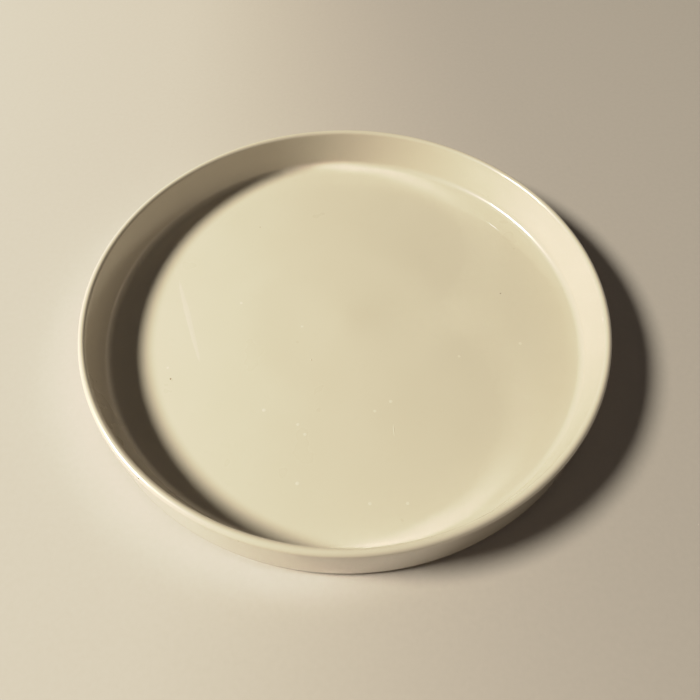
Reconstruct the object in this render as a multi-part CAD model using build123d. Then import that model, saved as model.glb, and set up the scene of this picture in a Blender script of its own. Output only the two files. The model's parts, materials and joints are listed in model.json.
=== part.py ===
from build123d import *
import os
from math import cos, radians, sin

# A wide, shallow, flat-floored glazed dish, in millimetres. +Z is up, and the origin is the
# centre of the circle that the foot ring stands on.

# outside of the glaze
rim_radius = 150.0
dish_height = 30.0
lip_radius = 2.2            # the lip is a full round
wall_lean = 13.3            # degrees that the inner wall leans outwards
base_corner_radius = 2.8    # outer wall into the underside

# inside of the dish
floor_height = 5.8
floor_corner_radius = 4.2   # tight fillet at the foot of the inner wall
cove_radius = 60.0          # soft rise of the floor before the fillet
cove_turn = 6.0             # degrees that the floor has turned up where the fillet starts
crown_radius = 38.0         # the floor rises very slightly to a soft point in the middle
crown_turn = 2.2            # degrees, at the steepest
crown_tip_radius = 156.0    # the soft point itself

# underside
margin_lift = 0.8           # clearance under the wall, outside the foot ring
recess_lift = 1.6           # clearance inside the foot ring
foot_outer_radius = 146.0
foot_inner_radius = 141.0
foot_edge_radius = 0.5

glaze_thickness = 0.35


def inside_line(depth):
    """The line from the lip's outermost point down to the floor's edge, depth under the glaze."""
    lip = lip_radius - depth
    corner = floor_corner_radius + depth
    cove = cove_radius + depth
    lean = radians(wall_lean)
    turn = radians(cove_turn)
    lip_end_height = dish_height - lip_radius + lip * sin(lean)
    cove_rise = cove * (1 - cos(turn))
    corner_rise = corner * (cos(turn) - sin(lean))
    wall_foot_height = floor_height - depth + cove_rise + corner_rise

    lip_arc = JernArc(
        start=(rim_radius - depth, dish_height - lip_radius),
        tangent=(0, 1),
        radius=lip,
        arc_size=180 - wall_lean,
    )
    wall = PolarLine(
        start=lip_arc @ 1,
        length=(lip_end_height - wall_foot_height) / cos(lean),
        direction=lip_arc % 1,
    )
    corner_arc = JernArc(
        start=wall @ 1,
        tangent=wall % 1,
        radius=corner,
        arc_size=wall_lean + cove_turn - 90,
    )
    cove_arc = JernArc(
        start=corner_arc @ 1,
        tangent=corner_arc % 1,
        radius=cove,
        arc_size=-cove_turn,
    )
    return [lip_arc, wall, corner_arc, cove_arc]


def crown_line(depth):
    """The line from the flat floor up to the soft point on the axis, depth under the glaze."""
    hollow_radius = crown_radius / sin(radians(crown_turn)) - crown_tip_radius
    rise = JernArc(
        start=(crown_radius, floor_height - depth),
        tangent=(-1, 0),
        radius=hollow_radius + depth,
        arc_size=-crown_turn,
    )
    tip = JernArc(
        start=rise @ 1,
        tangent=rise % 1,
        radius=crown_tip_radius - depth,
        arc_size=crown_turn,
    )
    return [rise, tip]


def section(depth):
    """Half of the dish's section, all of it lying at least depth under the glaze surface."""
    inside = inside_line(depth)
    crown = crown_line(depth)
    floor = Line(inside[-1] @ 1, crown[0] @ 0)
    step_radius = (foot_inner_radius + foot_outer_radius) / 2
    base = Polyline(
        crown[-1] @ 1,
        (0, recess_lift + depth),
        (step_radius, recess_lift + depth),
        (step_radius, margin_lift + depth),
        (rim_radius - base_corner_radius, margin_lift + depth),
    )
    base_corner = JernArc(
        start=base @ 1,
        tangent=(1, 0),
        radius=base_corner_radius - depth,
        arc_size=90,
    )
    outer_wall = Line(base_corner @ 1, inside[0] @ 0)
    return make_face([*inside, floor, *crown, *base.edges(), base_corner, outer_wall])


def foot_section():
    """The bare ring of biscuit that the dish stands on, with its two lower edges eased."""
    width = foot_outer_radius - foot_inner_radius
    height = recess_lift + glaze_thickness
    middle = (foot_inner_radius + foot_outer_radius) / 2
    block = Pos(middle, height / 2) * Rectangle(width, height)
    lower_corners = block.vertices().sort_by(Axis.Y)[:2]
    return fillet(lower_corners, foot_edge_radius)


def spun(profile):
    """The solid made by turning a half section about the dish's axis."""
    return revolve(Plane.XZ * profile, Axis.Z, 360)


def coat_sections(body_section):
    """The two patches of glaze that lie between the body and the glaze surface."""
    patches = (section(0) - body_section - foot_section()).faces()
    patches = patches.sort_by(SortBy.AREA)
    return patches[-1], patches[0]


def write(name, shape):
    shape.label = name
    export_step(shape, f"parts/{name}.step")
    print(f"{name}: {shape.volume / 1000:.2f} cm3")


os.makedirs("parts", exist_ok=True)
body_section = section(glaze_thickness) + foot_section()
coat_section, patch_section = coat_sections(body_section)
write("porcelain_body", spun(body_section))
write("glaze_coat", spun(coat_section))
write("underside_glaze", spun(patch_section))
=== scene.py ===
import json
from math import cos, exp, hypot, pi, radians, sin, tan

import bmesh
import bpy
from mathutils import Matrix, Vector


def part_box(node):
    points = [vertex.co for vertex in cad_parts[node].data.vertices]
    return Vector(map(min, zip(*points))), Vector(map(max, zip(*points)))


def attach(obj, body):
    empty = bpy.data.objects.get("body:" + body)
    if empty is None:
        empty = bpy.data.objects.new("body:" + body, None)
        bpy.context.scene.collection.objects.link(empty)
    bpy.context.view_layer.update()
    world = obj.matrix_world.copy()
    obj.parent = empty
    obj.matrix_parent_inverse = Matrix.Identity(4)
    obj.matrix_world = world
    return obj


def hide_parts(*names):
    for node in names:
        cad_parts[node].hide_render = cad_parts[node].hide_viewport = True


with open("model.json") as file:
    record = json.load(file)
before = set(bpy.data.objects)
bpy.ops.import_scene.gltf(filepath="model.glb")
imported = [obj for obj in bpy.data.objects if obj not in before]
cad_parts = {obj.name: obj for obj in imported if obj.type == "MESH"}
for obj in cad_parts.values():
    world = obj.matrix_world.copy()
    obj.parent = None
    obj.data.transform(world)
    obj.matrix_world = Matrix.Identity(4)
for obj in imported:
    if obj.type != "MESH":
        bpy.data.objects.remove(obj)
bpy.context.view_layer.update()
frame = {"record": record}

# a wide, shallow, glazed porcelain dish, standing on a plain floor
# lengths are in metres, so one millimetre is written 1 * mm

mm = 0.001
coatLow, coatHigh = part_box("glaze_coat")
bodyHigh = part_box("porcelain_body")[1]
patchLow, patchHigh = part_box("underside_glaze")
mountPlace = {mount["name"]: mount["pos_m"] for mount in frame["record"]["mounts"]}

print("camera")
camera = {
    "place": (0, -237.05 * mm, 319.62 * mm),
    "lookDown": 55.605,       # degrees below level
    "turnRight": 0.695,
    "tilt": 0.344,
    "lens": 33.43,
    "sensor": 36,
}

bpy.ops.object.camera_add(location=camera["place"])
viewer = bpy.context.object
viewer.name = "viewer"
viewer.data.sensor_width = camera["sensor"]
viewer.data.lens = camera["lens"]
aim = Matrix.Rotation(-radians(camera["turnRight"]), 3, "Z")
aim @= Matrix.Rotation(radians(90 - camera["lookDown"]), 3, "X")
aim @= Matrix.Rotation(radians(camera["tilt"]), 3, "Z")
viewer.rotation_euler = aim.to_euler()
bpy.context.scene.camera = viewer

# these two keep the glint that the wall throws on the floor
bpy.context.scene.cycles.blur_glossy = 0
bpy.context.scene.cycles.sample_clamp_indirect = 0

# a soft shoulder, as film has, so that the lit wall doesn't burn out
film = {
    "shoulder": [(0.35, 0.35), (0.68, 0.68), (0.82, 0.765)],    # light in, light out
    "white": 0.88,
}
viewing = bpy.context.scene.view_settings
viewing.view_transform = "Standard"
viewing.use_curve_mapping = True
viewing.curve_mapping.extend = "EXTRAPOLATED"
toneCurve = viewing.curve_mapping.curves[3]
for place in film["shoulder"]:
    toneCurve.points.new(*place)
toneCurve.points[-1].location = (1, film["white"])
viewing.curve_mapping.update()


# sRGB hex to the linear colour that a shader socket takes
def linearColour(hexColour):
    channels = [int(hexColour[at:at + 2], 16) / 255 for at in (1, 3, 5)]
    curved = [c / 12.92 if c <= 0.04045 else ((c + 0.055) / 1.055) ** 2.4 for c in channels]
    return (*curved, 1)


# adds one node, with its settings and what feeds its inputs
def addNode(tree, kind, settings=None, inputs=None):
    node = tree.nodes.new(kind)
    for setting, value in (settings or {}).items():
        setattr(node, setting, value)
    for socket, value in (inputs or {}).items():
        if isinstance(value, bpy.types.NodeSocket):
            tree.links.new(value, node.inputs[socket])
        else:
            node.inputs[socket].default_value = value
    return node


# an empty material, and its node tree
def newMaterial(name):
    material = bpy.data.materials.new(name)
    material.use_nodes = True
    material.node_tree.nodes.clear()
    return material, material.node_tree


print("light")
keyLight = {
    "round": 183.5,           # degrees round from +X, so a little to the front of the left
    "height": 39.9,           # degrees above level
    "distance": 4.5,
    "wide": 1.5,
    "tall": 0.95,
    "power": 412,
    "colour": (1, 0.96, 0.79),
}

around, above = radians(keyLight["round"]), radians(keyLight["height"])
towards = Vector((cos(around) * cos(above), sin(around) * cos(above), sin(above)))
bpy.ops.object.light_add(
    type="AREA",
    location=towards * keyLight["distance"],
    rotation=towards.to_track_quat("Z", "Y").to_euler(),
)
key = bpy.context.object
key.name = "softKey"
key.data.shape = "ELLIPSE"
key.data.size = keyLight["wide"]
key.data.size_y = keyLight["tall"]
key.data.energy = keyLight["power"]
key.data.color = keyLight["colour"]

# a woven net dims the light a little towards the right of the dish: its edge crosses the
# middle of the light, and the lamp is wide enough to blur that edge over the whole dish
net = {
    "standsOff": 0.7,         # from the middle of the dish
    "across": 0.9,
    "turn": radians(4),
    "lets": 0.7,              # the share of the light that gets through
}
netRight = Vector((sin(above), 0, cos(above)))
netBack = towards.cross(netRight)
netOut = netRight * cos(net["turn"]) + netBack * sin(net["turn"])
netFrame = Matrix((netOut, towards.cross(netOut), towards)).transposed()
bpy.ops.object.select_all(action="DESELECT")
bpy.ops.mesh.primitive_plane_add(
    size=net["across"],
    location=towards * net["standsOff"] + netOut * net["across"] / 2,
    rotation=netFrame.to_euler(),
)
softNet = bpy.context.object
softNet.name = "softNet"
softNet.visible_camera = False

# fine woven black thread: too fine to see, so the net only takes some of the light away
netMaterial, tree = newMaterial("wovenScrimNet")
thinned = addNode(tree, "ShaderNodeBsdfTransparent", inputs={
    "Color": (net["lets"], net["lets"], net["lets"], 1)})
addNode(tree, "ShaderNodeOutputMaterial", inputs={"Surface": thinned.outputs["BSDF"]})
softNet.data.materials.append(netMaterial)

roomAir = {"colour": (1, 0.91, 0.8, 1), "strength": 0.05}
room = bpy.data.worlds.new("roomAir")
room.use_nodes = True
room.node_tree.nodes["Background"].inputs["Color"].default_value = roomAir["colour"]
room.node_tree.nodes["Background"].inputs["Strength"].default_value = roomAir["strength"]
bpy.context.scene.world = room


# how near counts as the same place
near = {"ring": 0.05 * mm, "smallRing": 0.01 * mm, "double": 0.02 * mm}


# selects the edges of the live mesh that pass a test on the radius and height of their two ends
def selectEdges(piece, test):
    bpy.ops.mesh.select_mode(type="EDGE")
    bpy.ops.mesh.select_all(action="DESELECT")
    mesh = bmesh.from_edit_mesh(piece.data)
    for edge in mesh.edges:
        ends = [(hypot(v.co.x, v.co.y), v.co.z) for v in edge.verts]
        if test(*ends):
            edge.select_set(True)
    bmesh.update_edit_mesh(piece.data)


# true where both ends of an edge lie on the circle of this radius and height
def onRing(radius, height, reach=near["ring"]):
    def test(one, other):
        return all(abs(r - radius) < reach and abs(z - height) < reach for r, z in (one, other))
    return test


# starts a turned form as one open ring, and leaves it live in edit mode
def startRing(name, radius, height, faces):
    bpy.ops.object.select_all(action="DESELECT")
    bpy.ops.mesh.primitive_circle_add(vertices=faces, radius=radius, location=(0, 0, height))
    piece = bpy.context.object
    piece.name = name
    bpy.ops.object.transform_apply(location=True)
    bpy.ops.object.mode_set(mode="EDIT")
    bpy.ops.mesh.select_all(action="SELECT")
    return piece


# pulls the live ring through the rest of a profile of (radius, height) places
def pullRings(profile):
    for (oldRadius, oldHeight), (radius, height) in zip(profile, profile[1:]):
        bpy.ops.mesh.extrude_edges_move()
        scale = radius / oldRadius
        bpy.ops.transform.resize(value=(scale, scale, 1), center_override=(0, 0, 0))
        bpy.ops.transform.translate(value=(0, 0, height - oldHeight))


# rounds one ring of the live mesh, as far as reach to each side of it
def roundRing(piece, radius, height, reach, steps):
    selectEdges(piece, onRing(radius, height))
    bpy.ops.mesh.bevel(offset=reach, segments=steps, affect="EDGES", clamp_overlap=False)


# closes the small ring round a pole with a fan of faces
def closePole(piece, radius, height):
    selectEdges(piece, onRing(radius, height))
    bpy.ops.mesh.edge_face_add()
    bpy.ops.mesh.poke()


# cleans the live mesh, turns its faces outwards, and leaves edit mode
def finishMesh(piece, smoothAngle=40):
    bpy.ops.mesh.select_all(action="SELECT")
    bpy.ops.mesh.remove_doubles(threshold=near["double"])
    bpy.ops.mesh.normals_make_consistent(inside=False)
    bpy.ops.object.mode_set(mode="OBJECT")
    bpy.ops.object.shade_smooth_by_angle(angle=radians(smoothAngle))


# adds a modifier to the active piece and applies it at once
def applyModifier(piece, name, kind, **settings):
    modifier = piece.modifiers.new(name, kind)
    for setting, value in settings.items():
        setattr(modifier, setting, value)
    bpy.ops.object.modifier_apply(modifier=name)


print("dish form")
dish = {
    "ringFaces": 256,
    "rim": coatHigh.x,
    "top": coatHigh.z,
    "floor": mountPlace["dish_floor"][2],
    "lipRound": 2.2 * mm,
    "lipSteps": 7,
    "wallLean": radians(13.3),
    "wallCuts": 6,
    "shortestWall": 12 * mm,      # edges that rise more than this are wall
    "baseRound": 2.8 * mm,
    "baseSteps": 6,
    "filletRound": 4.2 * mm,      # tight, at the foot of the inner wall
    "filletSteps": 9,
    "coveRound": 60 * mm,         # soft, where the floor starts to rise
    "coveTurn": radians(6),
    "coveSteps": 4,
    "coveMargin": 4 * mm,         # from the cove's corner to the first ring of the floor
    "crownReach": 38 * mm,        # the middle of the floor rises to a soft point
    "crownTurn": radians(2.2),
    "crownTip": 156 * mm,
    "ridgePlace": 56 * mm,        # a faint ring round the middle
    "ridgeRise": 0.24 * mm,
    "ridgeSpread": 9 * mm,
    "poleRing": 2 * mm,
    "ringStep": 3.5 * mm,
    "glaze": coatHigh.x - bodyHigh.x,
}


# how far the floor stands above its level part
def floorLift(radius):
    steepest = sin(dish["crownTurn"])
    hollow = dish["crownReach"] / steepest - dish["crownTip"]
    turnPlace = dish["crownTip"] * steepest
    rise = dish["crownReach"] * tan(dish["crownTurn"] / 2)
    crown = 0
    if radius <= turnPlace:
        crown = rise - radius ** 2 / (2 * dish["crownTip"])
    elif radius < dish["crownReach"]:
        crown = (dish["crownReach"] - radius) ** 2 / (2 * hollow)
    fromRidge = (radius - dish["ridgePlace"]) / dish["ridgeSpread"]
    return crown + dish["ridgeRise"] * exp(-fromRidge ** 2 / 2)


# the corners of the dish from its outer wall to the middle of its floor, depth under the glaze,
# with how far each corner's rounding reaches and in how many steps
def dishCorners(depth):
    rim, top, floor = dish["rim"] - depth, dish["top"] - depth, dish["floor"] - depth
    lip, fillet = dish["lipRound"] - depth, dish["filletRound"] + depth
    cove, lean, turn = dish["coveRound"] + depth, dish["wallLean"], dish["coveTurn"]
    lipReach = lip * tan((pi / 2 - lean) / 2)
    filletReach = fillet * tan((pi / 2 - lean - turn) / 2)
    coveReach = cove * tan(turn / 2)
    lipInside = rim - lip - lipReach
    wallFoot = floor + cove * (1 - cos(turn)) + filletReach * sin(turn)
    wallFootRadius = lipInside - (top - wallFoot) * tan(lean)
    coveRadius = wallFootRadius - (filletReach + coveReach) * cos(turn)
    return [
        (rim, top, lip, dish["lipSteps"]),
        (lipInside, top, lipReach, dish["lipSteps"]),
        (wallFootRadius, wallFoot, filletReach, dish["filletSteps"]),
        (coveRadius, floor, coveReach, dish["coveSteps"]),
    ]


# places from the cove to the pole, one ring at a time
def floorRings(coveRadius, depth):
    start = coveRadius - dish["coveMargin"]
    count = round((start - dish["poleRing"]) / dish["ringStep"])
    radii = [start + (dish["poleRing"] - start) * at / count for at in range(count + 1)]
    return [(radius, dish["floor"] - depth + floorLift(radius)) for radius in radii]


# cuts the tall faces of the two walls into bands, so that they can warp
def cutWalls(piece):
    def tall(one, other):
        return abs(one[1] - other[1]) > dish["shortestWall"]
    selectEdges(piece, tall)
    bpy.ops.mesh.subdivide(number_cuts=dish["wallCuts"])


# rounds the outer corner at the base, then the corners of dishCorners
def roundDish(piece, rim, under, baseRound, corners):
    roundRing(piece, rim, under, baseRound, dish["baseSteps"])
    for radius, height, reach, steps in corners:
        roundRing(piece, radius, height, reach, steps)


# the same slow warp for the clay and the glaze on it, so that they stay parallel
warps = [
    {"name": "slowWarp", "across": 70 * mm, "strength": 0.35 * mm},          # from the kiln
    {"name": "handUnevenness", "across": 18 * mm, "strength": 0.06 * mm},    # from throwing
]
for warp in warps:
    warp["texture"] = bpy.data.textures.new(warp["name"], "CLOUDS")
    warp["texture"].noise_scale = warp["across"]
    warp["texture"].noise_depth = 1


def warpPiece(piece):
    for warp in warps:
        applyModifier(
            piece, warp["name"], "DISPLACE", texture=warp["texture"],
            strength=warp["strength"], texture_coords="LOCAL", mid_level=0.5)


print("glaze coat")
coat = {
    "footEdge": 146 * mm,     # the glaze was wiped back to here
    "under": coatLow.z,
}

corners = dishCorners(0)
profile = [(coat["footEdge"], coat["under"]), (dish["rim"], coat["under"])]
profile += [corner[:2] for corner in corners]
profile += floorRings(corners[-1][0], 0)
glazeCoat = startRing("glaze_shell", *profile[0], dish["ringFaces"])
pullRings(profile)
closePole(glazeCoat, *profile[-1])
cutWalls(glazeCoat)
roundDish(glazeCoat, dish["rim"], coat["under"], dish["baseRound"], corners)
finishMesh(glazeCoat)
warpPiece(glazeCoat)
applyModifier(glazeCoat, "coatThickness", "SOLIDIFY", thickness=dish["glaze"], offset=-1)


print("biscuit body")
foot = {
    "ceiling": patchHigh.z,   # clay inside the foot ring
    "inner": 141 * mm,
    "outer": coat["footEdge"],
    "edgeRound": 0.5 * mm,
    "edgeSteps": 4,
}

corners = dishCorners(dish["glaze"])
bodyRim = dish["rim"] - dish["glaze"]
bodyUnder = coat["under"] + dish["glaze"]
profile = [
    (dish["poleRing"], foot["ceiling"]),
    (foot["inner"] / 2, foot["ceiling"]),
    (foot["inner"], foot["ceiling"]),
    (foot["inner"], 0),
    (foot["outer"], 0),
    (foot["outer"], bodyUnder),
    (bodyRim, bodyUnder),
]
profile += [corner[:2] for corner in corners]
profile += floorRings(corners[-1][0], dish["glaze"])
body = startRing("biscuit_body", *profile[0], dish["ringFaces"])
pullRings(profile)
closePole(body, *profile[-1])
closePole(body, *profile[0])
cutWalls(body)
roundRing(body, foot["inner"], 0, foot["edgeRound"], foot["edgeSteps"])
roundRing(body, foot["outer"], 0, foot["edgeRound"], foot["edgeSteps"])
roundDish(body, bodyRim, bodyUnder, dish["baseRound"] - dish["glaze"], corners)
finishMesh(body)
warpPiece(body)


print("underside glaze")
patch = {
    "edge": patchHigh.x,
    "under": patchLow.z,
    "over": patchHigh.z,
    "bead": 0.3 * mm,         # the melted edge
    "beadSteps": 4,
}

profile = [
    (dish["poleRing"], patch["under"]),
    (patch["edge"] / 2, patch["under"]),
    (patch["edge"], patch["under"]),
    (patch["edge"], patch["over"]),
    (dish["poleRing"], patch["over"]),
]
undersideGlaze = startRing("glazed_recess", *profile[0], dish["ringFaces"])
pullRings(profile)
closePole(undersideGlaze, *profile[-1])
closePole(undersideGlaze, *profile[0])
roundRing(undersideGlaze, patch["edge"], patch["under"], patch["bead"], patch["beadSteps"])
finishMesh(undersideGlaze)


print("marks in the glaze")
mark = {
    "faces": 12,
    "rings": 4,
    "smooth": 80,             # degrees
    "sunk": 0.01 * mm,        # into the glaze, so that no gap shows
    "drawnOut": 3,            # a drop longer than this many widths has its edges cut
    "cuts": 2,
    "above": 100 * mm,        # where the ray that finds the glaze starts
}


# one small drop that stands on the level: it is 1 mm in radius, and edgeAngle is the angle
# at which its edge meets the level
def makeDrop(name, edgeAngle):
    ball = mm / sin(edgeAngle)
    angles = [edgeAngle * (1 - at / mark["rings"]) for at in range(mark["rings"])]
    profile = [(ball * sin(angle), ball * (cos(angle) - cos(edgeAngle))) for angle in angles]
    drop = startRing(name, *profile[0], mark["faces"])
    pullRings(profile)
    selectEdges(drop, onRing(*profile[-1], near["smallRing"]))
    bpy.ops.mesh.edge_face_add()
    bpy.ops.mesh.poke(offset=ball - ball * cos(angles[-1]))
    selectEdges(drop, onRing(*profile[0], near["smallRing"]))
    bpy.ops.mesh.edge_face_add()
    finishMesh(drop, mark["smooth"])
    return drop


# copies a drop to a place on the glaze, in millimetres, stretched along its turn
def placeDrop(drop, x, y, wide, tall=1, long=1, turn=0):
    bpy.ops.object.select_all(action="DESELECT")
    drop.select_set(True)
    bpy.context.view_layer.objects.active = drop
    bpy.ops.object.duplicate(linked=False)
    copy = bpy.context.object
    bpy.ops.object.mode_set(mode="EDIT")
    bpy.ops.mesh.select_all(action="SELECT")
    if long > mark["drawnOut"]:
        bpy.ops.mesh.subdivide(number_cuts=mark["cuts"])
    bpy.ops.transform.resize(value=(wide * long, wide, wide * tall), center_override=(0, 0, 0))
    bpy.ops.transform.rotate(value=-radians(turn), orient_axis="Z", center_override=(0, 0, 0))
    bpy.ops.transform.translate(value=(x * mm, y * mm, 0))
    mesh = bmesh.from_edit_mesh(copy.data)
    down = Vector((0, 0, -1))
    for v in mesh.verts:
        landing = glazeCoat.ray_cast(Vector((v.co.x, v.co.y, mark["above"])), down)[1]
        v.co.z += landing.z - mark["sunk"]
    bmesh.update_edit_mesh(copy.data)
    bpy.ops.object.mode_set(mode="OBJECT")
    return copy


# makes one drop, copies it to each place, and joins the copies into one piece
def scatterDrops(name, edgeAngle, places):
    drop = makeDrop(name + "_drop", edgeAngle)
    copies = [placeDrop(drop, *place) for place in places]
    bpy.data.objects.remove(drop)
    bpy.ops.object.select_all(action="DESELECT")
    for copy in copies:
        copy.select_set(True)
    bpy.context.view_layer.objects.active = copies[0]
    bpy.ops.object.join()
    copies[0].name = name
    return copies[0]


# milky specks, where the glaze's white did not melt out: x, y and radius in millimetres
milkyPlaces = [
    (-64, 13, 1), (-26, -5, 0.9), (66, -27, 0.9), (103, -18, 1), (25, -57, 1.1),
    (16, -63, 0.95), (-45, -62, 1.1), (-26, -71, 0.95), (-22, -77, 0.95), (-25, -105, 1.1),
    (12, -116, 1), (31, -116, 0.95), (-102, -34, 0.8),
]
milky = scatterDrops("milky_specks", radians(8), milkyPlaces)

# beads of glaze that boiled up in the kiln
pimplePlaces = [(-20, -29, 0.5), (-98.6, -42.4, 0.4), (57, 96, 0.4), (-132, -22, 0.4)]
pimples = scatterDrops("glaze_pimples", radians(60), pimplePlaces)

# painted shade: dark points of colour set at the glaze's pinholes, in place of the shade inside
# each pit
pinholeShadePlaces = [(-99.3, -41.6, 0.45), (96.6, 20, 0.4), (-98.7, -111.8, 0.45), (-57, 78, 0.3)]
specks = scatterDrops("pinhole_shade_specks", radians(25), pinholeShadePlaces)

# thin runs of thicker glaze, coloured a shade paler as a painted reflection on top of the light
# that the ridges catch: x, y and half width in millimetres, then how many times taller and
# longer than a round drop of that width, and the turn in degrees
runPlaces = [
    (-94.5, 0.5, 1.7, 0.12, 23, -71.5),
    (26, -75, 0.4, 1.4, 10, -88),
    (99.6, 78.8, 0.45, 3, 13, -51),
]
runs = scatterDrops("glaze_runs", radians(20), runPlaces)


print("materials")


# feldspar glaze on porcelain, dipped and fired glossy: a clear skin that mirrors sharply over
# a milky ivory that only glows, with soft clouds where it lies thicker, and a very slight
# orange peel that bends reflections
def makeGlaze(name, thick, thin):
    material, tree = newMaterial(name)
    look = {
        "thick": linearColour(thick),
        "thin": linearColour(thin),
        "cloudScale": 1 / (40 * mm),
        "peelScale": 1 / (5 * mm),
        "peelDepth": 0.008 * mm,
        "milkLow": 0.25,      # roughness of the milky part, where the clouds are thick
        "milkHigh": 0.32,
        "skin": 0.04,         # roughness of the clear part
        "glass": 1.5,         # refractive index
    }
    place = addNode(tree, "ShaderNodeTexCoord").outputs["Object"]
    cloud = addNode(tree, "ShaderNodeTexNoise", inputs={
        "Vector": place, "Scale": look["cloudScale"], "Detail": 3, "Roughness": 0.5})
    colour = addNode(tree, "ShaderNodeMix", {"data_type": "RGBA"}, {
        "Factor": cloud.outputs["Fac"], "A": look["thick"], "B": look["thin"]})
    gloss = addNode(tree, "ShaderNodeMapRange", inputs={
        "Value": cloud.outputs["Fac"], "To Min": look["milkLow"], "To Max": look["milkHigh"]})
    peel = addNode(tree, "ShaderNodeTexNoise", inputs={
        "Vector": place, "Scale": look["peelScale"], "Detail": 2})
    bump = addNode(tree, "ShaderNodeBump", inputs={
        "Height": peel.outputs["Fac"], "Distance": look["peelDepth"]})
    shader = addNode(tree, "ShaderNodeBsdfPrincipled", inputs={
        "Base Color": colour.outputs["Result"],
        "Roughness": gloss.outputs["Result"],
        "IOR": look["glass"],
        "Coat Weight": 1,
        "Coat Roughness": look["skin"],
        "Coat IOR": look["glass"],
        "Normal": bump.outputs["Normal"],
        "Coat Normal": bump.outputs["Normal"]})
    addNode(tree, "ShaderNodeOutputMaterial", inputs={"Surface": shader.outputs["BSDF"]})
    return material


# bare porcelain, fired without glaze: dry, fine-grained and matt, greyed a little by handling
def makeBiscuit():
    material, tree = newMaterial("firedBiscuitPorcelain")
    look = {
        "clay": linearColour("#D8CDB6"),
        "handled": linearColour("#BDB19A"),
        "grainScale": 1 / (0.6 * mm),    # coarser than the real grain, so that it shows
        "grainDepth": 0.02 * mm,
        "smudgeScale": 1 / (14 * mm),
        "dryness": 0.8,                  # roughness
        "glass": 1.5,                    # refractive index
    }
    place = addNode(tree, "ShaderNodeTexCoord").outputs["Object"]
    smudge = addNode(tree, "ShaderNodeTexNoise", inputs={
        "Vector": place, "Scale": look["smudgeScale"], "Detail": 4})
    colour = addNode(tree, "ShaderNodeMix", {"data_type": "RGBA"}, {
        "Factor": smudge.outputs["Fac"], "A": look["clay"], "B": look["handled"]})
    grain = addNode(tree, "ShaderNodeTexNoise", inputs={
        "Vector": place, "Scale": look["grainScale"], "Detail": 3})
    bump = addNode(tree, "ShaderNodeBump", inputs={
        "Height": grain.outputs["Fac"], "Distance": look["grainDepth"]})
    shader = addNode(tree, "ShaderNodeBsdfPrincipled", inputs={
        "Base Color": colour.outputs["Result"],
        "Roughness": look["dryness"],
        "IOR": look["glass"],
        "Normal": bump.outputs["Normal"]})
    addNode(tree, "ShaderNodeOutputMaterial", inputs={"Surface": shader.outputs["BSDF"]})
    return material


# painted shade of a pinhole: nearly black colour in the glaze, mottled a little, with the
# glaze's own shine over it
def makePinholeShade():
    material, tree = newMaterial("paintedPinholeShade")
    look = {
        "middle": linearColour("#3A2A1C"),
        "edge": linearColour("#6B5540"),
        "scale": 1 / (0.5 * mm),
        "shine": 0.15,        # roughness
        "glass": 1.5,         # refractive index
    }
    place = addNode(tree, "ShaderNodeTexCoord").outputs["Object"]
    shadeMottle = addNode(tree, "ShaderNodeTexNoise", inputs={
        "Vector": place, "Scale": look["scale"], "Detail": 2})
    colour = addNode(tree, "ShaderNodeMix", {"data_type": "RGBA"}, {
        "Factor": shadeMottle.outputs["Fac"], "A": look["middle"], "B": look["edge"]})
    shader = addNode(tree, "ShaderNodeBsdfPrincipled", inputs={
        "Base Color": colour.outputs["Result"],
        "Roughness": look["shine"],
        "IOR": look["glass"]})
    addNode(tree, "ShaderNodeOutputMaterial", inputs={"Surface": shader.outputs["BSDF"]})
    return material


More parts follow.
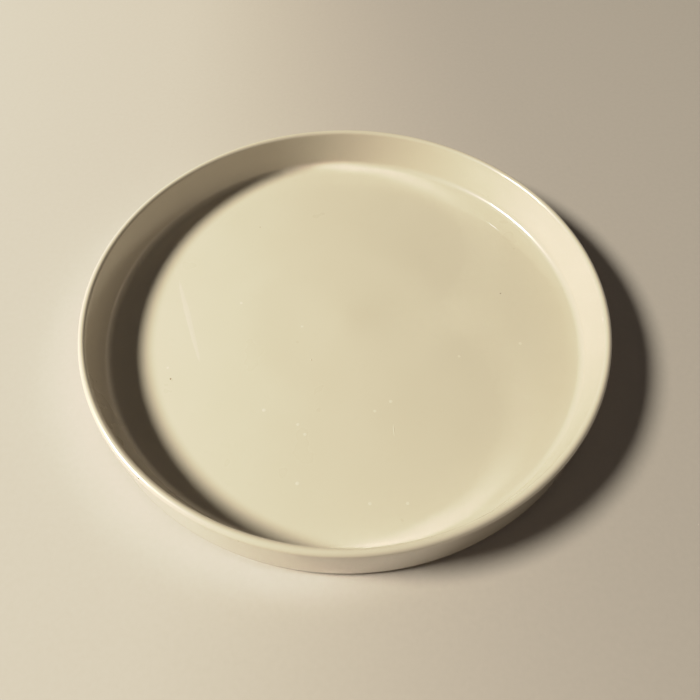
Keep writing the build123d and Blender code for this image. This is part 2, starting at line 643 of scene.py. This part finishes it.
# a sheet of matt card: pale, even and without shine
def makeCard():
    material, tree = newMaterial("mattCard")
    look = {
        "dark": linearColour("#B5ADA8"),
        "light": linearColour("#BAB2AD"),
        "fibreScale": 1 / (3 * mm),      # coarser than real fibre, so that it shows
        "dryness": 0.9,                  # roughness
        "glass": 1.3,                    # refractive index
    }
    place = addNode(tree, "ShaderNodeTexCoord").outputs["Object"]
    fibre = addNode(tree, "ShaderNodeTexNoise", inputs={
        "Vector": place, "Scale": look["fibreScale"], "Detail": 2})
    colour = addNode(tree, "ShaderNodeMix", {"data_type": "RGBA"}, {
        "Factor": fibre.outputs["Fac"], "A": look["dark"], "B": look["light"]})
    shader = addNode(tree, "ShaderNodeBsdfPrincipled", inputs={
        "Base Color": colour.outputs["Result"],
        "Roughness": look["dryness"],
        "IOR": look["glass"]})
    addNode(tree, "ShaderNodeOutputMaterial", inputs={"Surface": shader.outputs["BSDF"]})
    return material


glazeMaterial = makeGlaze("dippedFeldsparGlaze", "#D1C7B7", "#D5CBBC")
# where its white stayed unmelted it is paler; on the runs it is a shade paler, a painted
# reflection added to the light that the ridges catch by their shape
milkyMaterial = makeGlaze("unmeltedZirconInGlaze", "#DED4C5", "#E3D9CB")
runSheenMaterial = makeGlaze("pooledGlazeWithPaintedSheen", "#D7CDBE", "#DBD1C3")


# gives a piece one material in place of any it has
def setMaterial(piece, material):
    piece.data.materials.clear()
    piece.data.materials.append(material)


setMaterial(glazeCoat, glazeMaterial)
setMaterial(undersideGlaze, glazeMaterial)
setMaterial(milky, milkyMaterial)
setMaterial(pimples, glazeMaterial)
setMaterial(runs, runSheenMaterial)
# the dark specks are painted pinhole shade
setMaterial(specks, makePinholeShade())
setMaterial(body, makeBiscuit())


print("floor")
stageFloor = {
    "middle": 5 / 3,
    "radius": 5.0,
    "sweepRise": 3.5,
    "sweepOut": 1.5,
    "sweepRound": 1.2,
    "sweepSteps": 12,
    "faces": 96,
}
profile = [
    (stageFloor["middle"], 0),
    (stageFloor["radius"], 0),
    (stageFloor["radius"] + stageFloor["sweepOut"], stageFloor["sweepRise"]),
]
floorPlane = startRing("studioFloor", *profile[0], stageFloor["faces"])
pullRings(profile)
closePole(floorPlane, *profile[0])
roundRing(floorPlane, *profile[1], stageFloor["sweepRound"], stageFloor["sweepSteps"])
bpy.ops.mesh.select_all(action="SELECT")
bpy.ops.mesh.normals_make_consistent(inside=True)
bpy.ops.object.mode_set(mode="OBJECT")
bpy.ops.object.shade_smooth()
setMaterial(floorPlane, makeCard())

print("frame")
for piece, slot in [
    (glazeCoat, "glaze"), (body, "biscuit"), (undersideGlaze, "glaze"),
    (milky, "glaze"), (pimples, "glaze"), (specks, "glaze"), (runs, "glaze"),
]:
    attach(piece, "root")
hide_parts("glaze_coat")
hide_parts("porcelain_body")
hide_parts("underside_glaze")
